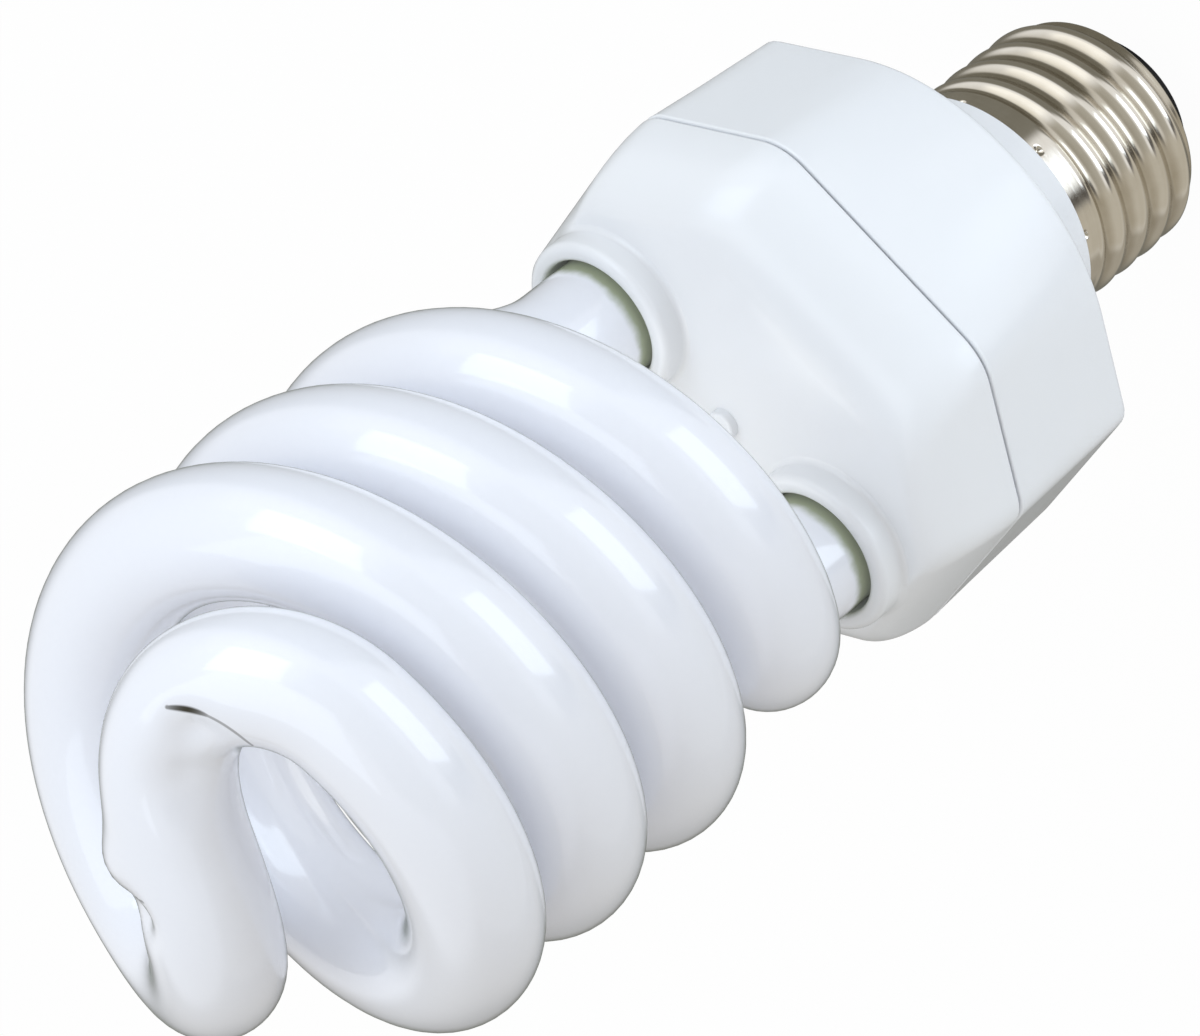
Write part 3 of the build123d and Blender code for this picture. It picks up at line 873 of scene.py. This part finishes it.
@dataclass
class ScrewCap:
    """The E27 cap: threaded shell with punched dents, black glass and centre contact."""

    radius: float = 13.15 * MM
    rim: float = 25.0 * MM
    straight: float = 8.5 * MM
    foot: float = 4.8 * MM
    lip: float = 9.6 * MM
    wall: float = 0.35 * MM
    pitch: float = 3.629 * MM
    depth: float = 0.7 * MM
    thread_low: float = 5.6 * MM
    thread_high: float = 22.0 * MM
    fade: float = 1.4 * MM
    collar: float = 12.85 * MM
    dents: int = 8
    dent_height: float = 23.7 * MM
    dent_width: float = 0.55 * MM
    dent_depth: float = 0.45 * MM
    dent_flat: float = 0.35
    around: int = 320
    along: int = 150
    straight_share: float = 0.8
    contact_radius: float = 4.8 * MM
    contact_thickness: float = 1.5 * MM
    contact_roll: float = 0.45 * MM
    contact_bevel: float = 0.6 * MM
    dome: Point = (0.8, 0.55 * MM)
    solder_share: float = 0.45
    solder_rise: tuple[Point, ...] = ((0.0, 0.0), (0.6, 0.01 * MM), (1.0, 0.14 * MM))
    solder_foot: Point = (0.15 * MM, 0.34 * MM)
    stem: float = 1.6 * MM
    glass_face: float = 5.6 * MM
    glass_shoulder: float = 8.8 * MM
    glass_shoulder_height: float = 2.45 * MM
    glass_round: float = 0.35 * MM
    face_bevel: float = 0.3 * MM
    face_rise: float = 0.1 * MM
    seat_gap: float = 0.15 * MM
    seat_rise: float = 0.5 * MM
    merge_reach: float = 0.001 * MM

    def shell(self) -> None:
        """Threaded shell: a sheet rolled round the axis and pressed by the thread and the punch."""
        recipe = Recipe("threaded_shell", {
            "Radius": self.radius, "Rim": self.rim, "Straight": self.straight, "Foot": self.foot,
            "Lip": self.lip, "Pitch": self.pitch, "Depth": self.depth, "Collar": self.collar,
            "Dent Height": self.dent_height, "Dent Width": self.dent_width, "Dent Depth": self.dent_depth,
        })
        size = recipe.size
        sheet = recipe.make("GeometryNodeMeshGrid", {
            "Size X": 1.0, "Size Y": 1.0, "Vertices X": self.around + 1, "Vertices Y": self.along + 1})
        x, y, _ = recipe.axes(recipe.make("GeometryNodeInputPosition"))
        angle = (x + 0.5) * (2.0 * math.pi)
        down = 0.5 - y
        run = (down / self.straight_share).least(1.0)
        curl = ((down - self.straight_share) / (1.0 - self.straight_share)).most(0.0) * (math.pi / 2.0)
        height = size("Rim") + (size("Straight") - size("Rim")) * run
        height = height - (size("Straight") - size("Foot")) * curl.sin()
        reach = size("Lip") + (size("Radius") - size("Lip")) * curl.cos()
        wave = 0.5 - 0.5 * (height * (2.0 * math.pi) / size("Pitch") - angle).cos()
        low = height.step(self.thread_low, self.thread_low + self.fade)
        band = height.step(self.thread_high - self.fade, self.thread_high)
        reach = reach - size("Depth") * wave * low * (1.0 - band) - (size("Radius") - size("Collar")) * band
        turns = angle * (self.dents / (2.0 * math.pi))
        aside = ((turns + 0.5).fraction() - 0.5) * (2.0 * math.pi / self.dents)
        miss = (aside * size("Collar")) ** 2.0 + (height - size("Dent Height")) ** 2.0
        dent = 1.0 - (miss.root() / size("Dent Width")).step(self.dent_flat, 1.0)
        reach = reach - size("Dent Depth") * dent
        rolled = recipe.make("GeometryNodeSetPosition", {
            "Geometry": sheet, "Position": recipe.vector(reach * angle.cos(), reach * angle.sin(), height)})
        ends = {"Geometry": rolled, "Distance": self.merge_reach}
        mesh = recipe.mesh(recipe.make("GeometryNodeMergeByDistance", ends), NICKEL.material())
        piece("threaded_shell", mesh, "screw_shell", self.wall)

    def insulator(self) -> None:
        """Black glass: a cone with a rounded shoulder between the contact and the shell."""
        low = self.contact_thickness
        seat = self.lip - self.seat_gap
        middle = (self.glass_shoulder - self.glass_round, self.glass_shoulder_height + self.glass_round)
        profile = [(self.stem, low), (self.glass_face - self.face_bevel, low)]
        profile += [(self.glass_face, low + self.face_rise)]
        profile += arc(middle, self.glass_round, -65.0, 0.0)
        profile += [(seat, self.foot + self.seat_rise), (seat, self.straight), (self.stem, self.straight)]
        mesh = turned("cap_glass", profile, BLACK_GLASS.material(), loop=True)
        piece("cap_glass", mesh, "cap_insulator")

    def contact(self) -> None:
        """Centre contact: a domed disc with its rolled edge and a flat of solder."""
        top, edge, roll = self.contact_thickness, self.contact_radius, self.contact_roll
        solder = self.solder_share * edge
        profile = [(share * solder, height) for share, height in self.solder_rise]
        profile += [(solder + self.solder_foot[0], self.solder_foot[1]), (self.dome[0] * edge, self.dome[1])]
        profile += arc((edge - roll, top - roll), roll, -70.0, 60.0)
        profile += [(edge - self.contact_bevel, top), (0.0, top)]
        mesh = turned("contact_disc", profile, CONTACT.material(), segments=96)
        piece("contact_disc", mesh, "centre_contact")

    def build(self) -> None:
        """Build the cap's three pieces."""
        self.shell()
        self.insulator()
        self.contact()


@dataclass
class BallastHousing:
    """The two white mouldings, near round at the cap, eight-sided at the seam and domed over the sockets."""

    neck: float = 14.2 * MM
    neck_low: float = 25.02 * MM
    shoulder: float = 15.6 * MM
    shoulder_low: float = 30.5 * MM
    rim: float = 36.0 * MM
    rim_radius: float = 25.4 * MM
    rim_half_length: float = 25.75 * MM
    rim_edge: float = 0.9 * MM
    rim_end_corner: float = 2.5 * MM
    rim_side_corner: float = 24.0 * MM
    seam: float = 55.0 * MM
    seam_gap: float = 0.15 * MM
    seam_edge: float = 0.3 * MM
    seam_lip: float = 1.0 * MM
    half_length: float = 26.7 * MM
    half_width: float = 24.6 * MM
    half_diagonal: float = 27.4 * MM
    end_corner: float = 4.0 * MM
    side_corner: float = 7.0 * MM
    face: float = 65.0 * MM
    taper: float = 9.0 * MM
    end_share: float = 0.32
    dome_power: float = 1.55
    corner_growth: float = 2.0 * MM
    wall: float = 1.6 * MM
    socket: float = 15.6 * MM
    socket_top: float = 68.2 * MM
    socket_bore: float = 6.9 * MM
    socket_radius: float = 8.8 * MM
    socket_edge: float = 0.9 * MM
    socket_foot: float = 60.0 * MM
    flare: float = 0.7 * MM
    gate_radius: float = 1.6 * MM
    gate_height: float = 1.0 * MM
    gate_edge: float = 0.3 * MM
    gate_sink: float = 0.5 * MM
    neck_edge: float = 0.25 * MM
    neck_fillet: float = 0.6 * MM
    fillet_swings: tuple[float, ...] = (0.4, 0.8, 1.2)
    shoulder_inset: float = 0.3 * MM
    shoulder_edge: float = 0.5 * MM
    rim_inset: float = 0.35 * MM
    rim_drop: float = 0.12 * MM
    rim_swings: tuple[float, ...] = (0.15, 0.4, 0.65, 0.9, 1.15, 1.4)
    boss_inset: float = 0.3 * MM
    boss_sink: float = 0.03 * MM
    boss_clear: float = 0.2 * MM
    mouth_edge: float = 0.5 * MM
    cut_share: float = 0.45
    cut_low: float = 2.0 * MM
    around: int = 288
    boss_around: int = 144
    gate_around: int = 48
    seam_steps: int = 5
    flare_steps: int = 7
    wall_rows: int = 14
    dome_rows: int = 40
    dome_levels: int = 60
    face_rows: int = 30

    def turn(self) -> np.ndarray:
        """Angles round the lamp axis."""
        return np.linspace(0.0, 2.0 * math.pi, self.around, endpoint=False)

    def octagon(self, turn: np.ndarray, sides: tuple[float, float, float],
                rounds: tuple[float, float]) -> np.ndarray:
        """Reach of an eight-sided section with rounded corners.

        Args:
            turn: angles about the lamp axis.
            sides: distance of the end, long and slanted sides from the axis.
            rounds: radius of the corners beside the ends and of those beside the long sides.

        Returns:
            Distance of the outline from the axis at each angle.
        """
        length, width, diagonal = sides
        ways = [np.array((math.cos(a), math.sin(a))) for a in (k * math.pi / 4.0 for k in range(8))]
        gaps = [length, diagonal, width, diagonal] * 2
        ray = np.column_stack((np.cos(turn), np.sin(turn)))
        reach = np.full(len(turn), np.inf)
        for way, gap in zip(ways, gaps):
            facing = np.maximum(ray @ way, 1e-9)
            reach = np.minimum(reach, gap / facing)
        for k in range(8):
            corner = rounds[0] if k % 4 in (0, 3) else rounds[1]
            first, second = ways[k], ways[(k + 1) % 8]
            inner = np.array((gaps[k] - corner, gaps[(k + 1) % 8] - corner))
            centre = np.linalg.solve(np.array((first, second)), inner)
            along = ray @ centre
            under = corner ** 2 - centre @ centre + along ** 2
            hit = along + np.sqrt(np.maximum(under, 0.0))
            offset = ray * hit[:, None] - centre
            after = offset @ np.array((-first[1], first[0])) >= 0.0
            before = offset @ np.array((second[1], -second[0])) >= 0.0
            reach = np.where(after & before & (under > 0.0) & (along > 0.0), hit, reach)
        return reach

    def row(self, reach: np.ndarray | float, height: float) -> np.ndarray:
        """Points of one row.

        Args:
            reach: distance from the lamp axis, one for all angles or one for each.
            height: height of the row.

        Returns:
            The points, one for each angle.
        """
        turn = self.turn()
        full = np.broadcast_to(reach, turn.shape)
        return np.column_stack((full * np.cos(turn), full * np.sin(turn), np.full(len(turn), height)))

    def seam_reach(self, inset: float) -> np.ndarray:
        """Reach of the outline at the seam, set in by a distance."""
        sides = (self.half_length - inset, self.half_width - inset, self.half_diagonal - inset)
        return self.octagon(self.turn(), sides, (self.end_corner - inset, self.side_corner - inset))

    def seam_rows(self, height: float, side: float) -> list[np.ndarray]:
        """Rows of a rounded edge at the seam, from the lip inside to the wall.

        Args:
            height: height of the lip.
            side: 1 where the wall goes up from the seam, -1 where it goes down.

        Returns:
            The rows.
        """
        rows = [self.row(self.seam_reach(self.seam_lip), height)]
        for k in range(self.seam_steps + 1):
            angle = math.pi / 2.0 * k / self.seam_steps
            reach = self.seam_reach(self.seam_edge * (1.0 - math.sin(angle)))
            rows.append(self.row(reach, height + side * self.seam_edge * (1.0 - math.cos(angle))))
        return rows

    def base(self) -> None:
        """Upper moulding, from its neck to the seam."""
        rim_reach = self.octagon(self.turn(), (self.rim_half_length, self.rim_radius, self.rim_radius),
                                 (self.rim_end_corner, self.rim_side_corner))
        low, high = self.rim + self.rim_edge, self.seam - self.seam_gap - self.seam_edge

        def wall_reach(height: float, inset: float) -> np.ndarray:
            """Reach of the wall at a height, set in by a distance."""
            share = (height - self.rim) / (self.seam - self.rim)
            return rim_reach + (self.seam_reach(0.0) - rim_reach) * share - inset

        edge, fillet = self.neck_edge, self.neck_fillet
        profile = arc((self.neck - edge, self.neck_low + edge), edge, -90.0, 0.0, 4)
        profile += [(self.neck, self.shoulder_low - fillet)]
        profile += [(self.neck + fillet * (1.0 - math.cos(swing)),
                     self.shoulder_low - fillet * (1.0 - math.sin(swing))) for swing in self.fillet_swings]
        shoulder = (self.shoulder - self.shoulder_inset, self.shoulder_low + self.shoulder_edge)
        profile += arc(shoulder, self.shoulder_edge, -90.0, -31.0, 4)
        profile += [(self.rim_radius - self.rim_edge - self.rim_inset, self.rim - self.rim_drop)]
        rows = [self.row(r, z) for r, z in profile]
        for swing in self.rim_swings:
            inset = self.rim_edge * (1.0 - math.sin(swing))
            height = self.rim + self.rim_edge * (1.0 - math.cos(swing))
            rows.append(self.row(wall_reach(height, inset), height))
        rows += [self.row(wall_reach(z, 0.0), z) for z in np.linspace(low, high, self.wall_rows)]
        rows += self.seam_rows(self.seam - self.seam_gap, -1.0)[::-1]
        mesh = skin("upper_moulding", rows, WHITE_PLASTIC.material())
        piece("upper_moulding", mesh, "base_housing", self.wall)

    def dome(self, turn: np.ndarray, swing: float) -> tuple[np.ndarray, float]:
        """Reach and height of the dome at a swing from its wall to its face.

        Args:
            turn: angles about the lamp axis.
            swing: 0 at the seam, a right angle at the face.

        Returns:
            The reach at each angle and the height.
        """
        drawn = self.taper * (1.0 - math.cos(swing))
        start = self.seam + self.seam_gap + self.seam_edge
        height = start + (self.face - start) * math.sin(swing) ** (2.0 / self.dome_power)
        sides = (self.half_length - drawn * self.end_share, self.half_width - drawn,
                 self.half_diagonal - drawn * (1.0 + self.end_share) / 2.0)
        growth = self.corner_growth * (1.0 - math.cos(swing))
        return self.octagon(turn, sides, (self.end_corner + growth, self.side_corner + growth)), height

    def dome_height(self, x: np.ndarray, y: np.ndarray) -> np.ndarray:
        """Height of the dome above points of the plan.

        Args:
            x: first coordinates.
            y: second coordinates.

        Returns:
            The height at each point.
        """
        turn, reach = np.arctan2(y, x), np.hypot(x, y)
        levels = [self.dome(turn, swing) for swing in np.linspace(math.pi / 2.0, 0.0, self.dome_levels)]
        edges = np.array([level[0] for level in levels])
        heights = np.array([level[1] for level in levels])
        return np.array([np.interp(r, edges[:, k], heights) for k, r in enumerate(reach)])

    def boss(self, x: float, material: Material) -> Mesh:
        """Socket for one leg, flared into the dome.

        Args:
            x: place of its axis.
            material: material of the faces.

        Returns:
            The mesh.
        """
        turn = np.linspace(0.0, 2.0 * math.pi, self.boss_around, endpoint=False)
        out = np.column_stack((np.cos(turn), np.sin(turn)))

        def ring(reach: float, height: np.ndarray | float) -> np.ndarray:
            """Row of points about the socket's axis."""
            full = np.broadcast_to(height, turn.shape)
            return np.column_stack((x + reach * out[:, 0], reach * out[:, 1], full))

        edge, bore, outer, mouth = self.socket_edge, self.socket_bore, self.socket_radius, self.mouth_edge
        rows = [ring(bore, self.socket_foot), ring(outer - self.boss_inset, self.socket_foot)]
        for k in range(self.flare_steps + 1):
            swing = math.pi / 2.0 * k / self.flare_steps
            reach = outer + self.flare * (1.0 - math.sin(swing))
            foot = self.dome_height(x + reach * out[:, 0], reach * out[:, 1]) - self.boss_sink
            rise = self.flare * (1.0 - math.cos(swing))
            rows.append(ring(reach, np.minimum(foot + rise, self.socket_top - edge - self.boss_clear)))
        profile = arc((outer - edge, self.socket_top - edge), edge, 0.0, 90.0)
        profile += arc((bore + mouth, self.socket_top - mouth), mouth, 90.0, 180.0)
        rows += [ring(radius, height) for radius, height in profile]
        return skin("boss", rows, material, loop=True)

    def holder(self) -> None:
        """Lower moulding: dome, two sockets and the mark of the gate."""
        material = WHITE_PLASTIC.material()
        rows = self.seam_rows(self.seam + self.seam_gap, 1.0)
        swings = np.linspace(0.0, math.pi / 2.0, self.dome_rows)
        rows += [self.row(*self.dome(self.turn(), swing)) for swing in swings[1:]]
        last = self.dome(self.turn(), swings[-1])[0]
        rows += [self.row(last * share, self.face) for share in np.linspace(1.0, 0.0, self.face_rows)[1:]]
        cut = self.socket_bore + self.cut_share * (self.socket_radius - self.socket_bore)

        def clear(middle: np.ndarray) -> bool:
            """Whether a face of the dome lies outside both sockets, or low at the seam."""
            apart = math.hypot(abs(middle[0]) - self.socket, middle[1])
            return apart > cut or middle[2] < self.seam + self.cut_low

        mesh = skin("lower_moulding", rows, material, keep=clear)
        item = piece("lower_moulding", mesh, "tube_holder", self.wall)
        low, high, edge = self.face - self.gate_sink, self.face + self.gate_height, self.gate_edge
        nub = [(0.0, low), (self.gate_radius, low)]
        nub += arc((self.gate_radius - edge, high - edge), edge, 0.0, 90.0, 4) + [(0.0, high)]
        extra = [self.boss(x, material) for x in (-self.socket, self.socket)]
        join(item, extra + [turned("gate", nub, material, self.gate_around)])

    def build(self) -> None:
        """Build both mouldings."""
        self.base()
        self.holder()


def join(item: Object, extra: Sequence[Mesh]) -> None:
    """Add closed meshes to a piece's own mesh.

    Args:
        item: the piece.
        extra: meshes with the same material, in the row's frame.
    """
    points, faces, base = [], [], 0
    for mesh in (item.data, *extra):
        points += [tuple(v.co) for v in mesh.vertices]
        faces += [[base + k for k in face.vertices] for face in mesh.polygons]
        base += len(mesh.vertices)
    whole = bpy.data.meshes.new(item.name)
    whole.from_pydata(points, [], faces)
    item.data = shaded(whole, item.data.materials[0])


@dataclass
class Ballast:
    """The pieces inside the housing, which keep their CAD form and get their finishes."""

    finishes: tuple[Finish, ...] = (CEMENT, LAMINATE, SLEEVE, FERRITE, BOBBIN, COPPER, DIPPED, RESIN,
                                    LACQUER, TINNED, COVER)

    def build(self, nodes: dict[str, Object], record: dict[str, Any]) -> None:
        """Dress each node whose slot has a finish here.

        Args:
            nodes: the CAD nodes by name.
            record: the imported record, which names each node's slot.
        """
        materials = {finish.name: finish.material() for finish in self.finishes}
        for part in record["subparts"]:
            if part["material_slot"] in materials:
                node = nodes[part["node"]]
                node.data.materials.clear()
                node.data.materials.append(materials[part["material_slot"]])
                LOG.info("%s: dressed as %s", part["node"], part["material_slot"])


# Studio


class Side(Enum):
    """Where a light stands, as right, up and towards the camera."""

    LEFT = (-0.56, 0.38, 0.73)
    RIGHT = (0.77, 0.38, 0.50)
    FILL = (-0.60, -0.35, 0.70)


@dataclass(frozen=True)
class Softbox:
    """A square light that looks at the lamp."""

    name: str
    side: Side
    distance: float
    width: float
    power: float
    colour: Colour


@dataclass(frozen=True)
class Glow:
    """Light that the milky tube would carry into the space inside the spiral."""

    name: str
    place: Vector
    radius: float
    power: float
    colour: Colour = (1.0, 0.99, 0.90)


@dataclass(frozen=True)
class Card:
    """A curved card with soft edges about the cap, seen only in reflections; its angles are in degrees."""

    name: str
    azimuth: tuple[float, float]
    elevation: tuple[float, float]
    distance: float
    colour: Colour
    fade: float = 12.0


@dataclass
class Studio:
    """White ground, three softboxes, cards for the metal and the camera of the photograph."""

    aim: Vector = Vector((-0.33, 0.05, 83.59)) * MM
    distance: float = 771.0 * MM
    azimuth: float = math.radians(82.104)
    elevation: float = math.radians(33.995)
    roll: float = math.radians(128.561)
    sensor: float = 36.0
    focal_pixels: float = 8001.0
    image_width: float = 1200.0
    cap: Vector = Vector((0.0, 0.0, 15.0)) * MM
    clip: float = 0.01
    card_steps: int = 32
    floor_radius: float = 0.6
    floor_drop: float = 0.2 * MM
    floor_roughness: float = 0.9
    floor_white: float = 0.97
    ambient: float = 0.63
    ambient_colour: Colour = (1.0, 0.98, 0.935)
    ground: Colour = (0.85, 0.85, 0.85)
    softboxes: tuple[Softbox, ...] = (
        Softbox("softbox_left", Side.LEFT, 0.55, 0.34, 0.86, (0.72, 0.85, 1.0)),
        Softbox("softbox_right", Side.RIGHT, 0.55, 0.34, 0.80, (0.72, 0.85, 1.0)),
        Softbox("softbox_fill", Side.FILL, 0.80, 0.80, 1.9, (0.78, 0.88, 1.0)),
    )
    glows: tuple[Glow, ...] = (
        Glow("glow_low", Vector((0.0, 0.0, 84.0)) * MM, 8.0 * MM, 0.0036),
        Glow("glow_high", Vector((0.0, 0.0, 118.0)) * MM, 8.0 * MM, 0.0014),
    )
    cards: tuple[Card, ...] = (
        Card("card_bright", (108.0, 176.0), (-2.0, 36.0), 0.87, (1.34, 1.33, 1.29)),
        Card("card_behind", (206.0, 318.0), (-88.0, 20.0), 0.90, (0.20, 0.195, 0.17), 26.0),
        Card("card_left", (104.0, 262.0), (-84.0, -1.0), 0.93, (0.24, 0.23, 0.195)),
        Card("card_strip", (28.0, 56.0), (-66.0, -4.0), 0.96, (0.10, 0.09, 0.08)),
        Card("card_right", (-24.0, 42.0), (-84.0, 34.0), 0.99, (0.62, 0.585, 0.51)),
        Card("card_low_right", (-104.0, -12.0), (-84.0, 34.0), 1.02, (0.46, 0.43, 0.37)),
        Card("card_front", (16.0, 112.0), (4.0, 60.0), 1.05, (0.52, 0.50, 0.44)),
    )

    def view(self) -> Matrix:
        """Turn of the camera: its right, up and backward directions as columns.

        Returns:
            A 3 by 3 matrix.
        """
        back = Vector((math.cos(self.elevation) * math.cos(self.azimuth),
                       math.cos(self.elevation) * math.sin(self.azimuth), math.sin(self.elevation)))
        level = Vector((0.0, 0.0, 1.0)).cross(back).normalized()
        upright = back.cross(level)
        up = upright * math.cos(self.roll) + level * math.sin(self.roll)
        right = up.cross(back)
        return Matrix((right, up, back)).transposed()

    def stand(self, item: Object, side: Side, distance: float) -> None:
        """Stand a light at a side of the lamp, turned towards it.

        Args:
            item: the light.
            side: its direction from the lamp.
            distance: its distance in metres.
        """
        way = (self.view() @ Vector(side.value)).normalized()
        turn = way.to_track_quat("Z", "Y").to_matrix().to_4x4()
        item.matrix_world = Matrix.Translation(self.aim + way * distance) @ turn

    def camera(self) -> None:
        """Add the camera at the photograph's viewing angle."""
        data = bpy.data.cameras.new("camera")
        data.sensor_width = self.sensor
        data.lens = self.sensor * self.focal_pixels / self.image_width
        data.clip_start = self.clip
        item = placed("camera", data)
        turn = self.view()
        item.matrix_world = Matrix.Translation(self.aim + turn.col[2] * self.distance) @ turn.to_4x4()
        bpy.context.scene.camera = item

    def seen(self, tree: Tree) -> Term:
        """Tell rays that see a surface from those that only light it.

        Args:
            tree: the tree of a material or of the world.

        Returns:
            1 for rays from the camera and for mirrored or refracted ones, else 0.
        """
        path = tree.make("ShaderNodeLightPath").outputs
        rays = ("Is Camera Ray", "Is Glossy Ray", "Is Transmission Ray")
        return functools.reduce(Term.most, [Term(tree.tree, path[ray]) for ray in rays])

    def world(self) -> None:
        """White to the eye and to mirrors, and a softer light on everything else."""
        world = bpy.data.worlds.new("studio")
        world.use_nodes = True
        world.node_tree.nodes.clear()
        tree = Tree(world.node_tree)
        soft, white = (
            tree.make("ShaderNodeBackground", {"Color": (*colour, 1.0), "Strength": strength})
            for colour, strength in ((self.ambient_colour, self.ambient), (WHITE, 1.0)))
        both = tree.make("ShaderNodeMixShader", {0: self.seen(tree), 1: soft, 2: white})
        tree.make("ShaderNodeOutputWorld", {"Surface": both})
        bpy.context.scene.world = world

    def floor(self) -> None:
        """Add a pale floor under the cap, which keeps a faint shadow."""
        mesh = turned("floor", [(0.0, 0.0), (self.floor_radius, 0.0)], self.floor_material(), segments=96)
        mesh.transform(Matrix.Translation((0.0, 0.0, -self.floor_drop)))
        item = placed("floor", mesh)
        item.visible_glossy = False
        item.visible_shadow = False
        item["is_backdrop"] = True

    def floor_material(self) -> Material:
        """Pale floor that reads as white, with a share of its shaded colour.

        Returns:
            The material.
        """
        shader = Shader("floor")
        pale = shader.surface({"Base Color": (*self.ground, 1.0), "Roughness": self.floor_roughness})
        white = shader.make("ShaderNodeEmission", {"Color": (*WHITE, 1.0), "Strength": 1.0})
        share = self.floor_white * self.seen(shader)
        return shader.close(shader.make("ShaderNodeMixShader", {0: share, 1: pale, 2: white}))

    def card(self, card: Card) -> None:
        """Add one card.

        Args:
            card: its place, size and colour.
        """
        steps, row = self.card_steps, self.card_steps + 1
        turns, rises = (np.radians(np.linspace(*span, row)) for span in (card.azimuth, card.elevation))
        turn, rise = (part.ravel() for part in np.meshgrid(turns, rises))
        way = np.column_stack((np.cos(rise) * np.cos(turn), np.cos(rise) * np.sin(turn), np.sin(rise)))
        faces = [(k, k + row, k + row + 1, k + 1) for k in range(steps * row) if k % row < steps]
        mesh = bpy.data.meshes.new(card.name)
        mesh.from_pydata((card.distance * way).tolist(), [], faces)
        layer = mesh.uv_layers.new(name="span")
        for loop in mesh.loops:
            layer.data[loop.index].uv = (loop.vertex_index % row / steps, loop.vertex_index // row / steps)
        shader = Shader(card.name)
        across, along, _ = shader.axes(shader.make("ShaderNodeTexCoord").outputs["UV"])
        inside = [part.least(1.0 - part).step(0.0, card.fade / (span[1] - span[0]))
                  for part, span in ((across, card.azimuth), (along, card.elevation))]
        glow = shader.make("ShaderNodeEmission", {"Color": (*card.colour, 1.0), "Strength": 1.0})
        clear = shader.make("ShaderNodeBsdfTransparent")
        faded = shader.make("ShaderNodeMixShader", {0: inside[0] * inside[1], 1: clear, 2: glow})
        mesh.materials.append(shader.close(faded))
        item = placed(card.name, mesh)
        item.location = self.cap
        for ray in ("camera", "diffuse", "shadow", "transmission"):
            setattr(item, f"visible_{ray}", False)
        item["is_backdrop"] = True

    def light(self, box: Softbox) -> None:
        """Add one softbox.

        Args:
            box: its place, size and power.
        """
        data = bpy.data.lights.new(box.name, "AREA")
        data.shape = "SQUARE"
        data.size = box.width
        data.energy = box.power
        data.color = box.colour
        item = placed(box.name, data)
        self.stand(item, box.side, box.distance)
        item.visible_camera = False

    def glow(self, glow: Glow) -> None:
        """Add one glow.

        Args:
            glow: its place, radius and power.
        """
        data = bpy.data.lights.new(glow.name, "POINT")
        data.shadow_soft_size = glow.radius
        data.energy = glow.power
        data.color = glow.colour
        data.specular_factor = 0.0
        item = placed(glow.name, data)
        item.location = glow.place
        item.visible_camera = False

    def build(self) -> None:
        """Set up the ground, the lights, the cards and the camera."""
        bpy.context.scene.view_settings.view_transform = "Standard"
        self.world()
        self.floor()
        for box in self.softboxes:
            self.light(box)
        for glow in self.glows:
            self.glow(glow)
        for card in self.cards:
            self.card(card)
        self.camera()


def corners(bounds: Sequence[Sequence[float]]) -> list[list[float]]:
    """Lowest and highest corner as plain lists."""
    return [[float(part) for part in corner] for corner in bounds]


def main() -> None:
    """Build the lamp's pieces in order, then the studio."""
    logging.basicConfig(level=logging.INFO, format="%(name)s %(message)s")
    cad_box = corners(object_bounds())
    GlassSpiral().build()
    ScrewCap().build()
    BallastHousing().build()
    Ballast().build(frame["nodes"], frame["record"])
    Studio().build()
    {"cad": cad_box, "visual": corners(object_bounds())}


if __name__ == "__main__":
    main()
